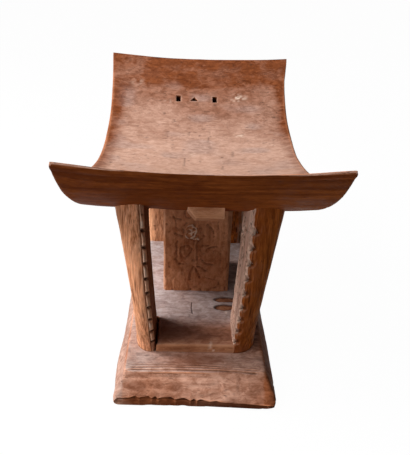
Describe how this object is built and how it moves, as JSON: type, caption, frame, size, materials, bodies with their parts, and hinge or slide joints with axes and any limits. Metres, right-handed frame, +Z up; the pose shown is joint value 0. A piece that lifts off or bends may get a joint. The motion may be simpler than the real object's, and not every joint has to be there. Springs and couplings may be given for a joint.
{
  "type": "carved stool",
  "caption": "Low carved wooden stool: crescent seat on a central column and notched corner legs, on a plinth and a bevelled base.",
  "frame": {"origin": "centre of the base's underside, on the floor", "axes": "+Z up, +Y along the seat towards the end with the perforations, +X across the seat to the right as seen from the other end"},
  "size_m": [0.3028, 0.5, 0.345],
  "materials": {
    "seat": "worn, waxed bare wood",
    "column": "worn, waxed bare wood",
    "rib": "worn, waxed bare wood",
    "plinth": "worn, waxed bare wood",
    "base": "worn, waxed bare wood",
    "leg_front_left": "worn, waxed bare wood",
    "leg_front_right": "worn, waxed bare wood",
    "leg_rear_left": "worn, waxed bare wood",
    "leg_rear_right": "worn, waxed bare wood"
  },
  "bodies": {
    "root": {"seat": "seat", "column": "column", "rib": "rib", "plinth": "plinth", "base": "base", "leg_front_left": "leg_front_left", "leg_front_right": "leg_front_right", "leg_rear_left": "leg_rear_left", "leg_rear_right": "leg_rear_right"}
  },
  "joints": []
}
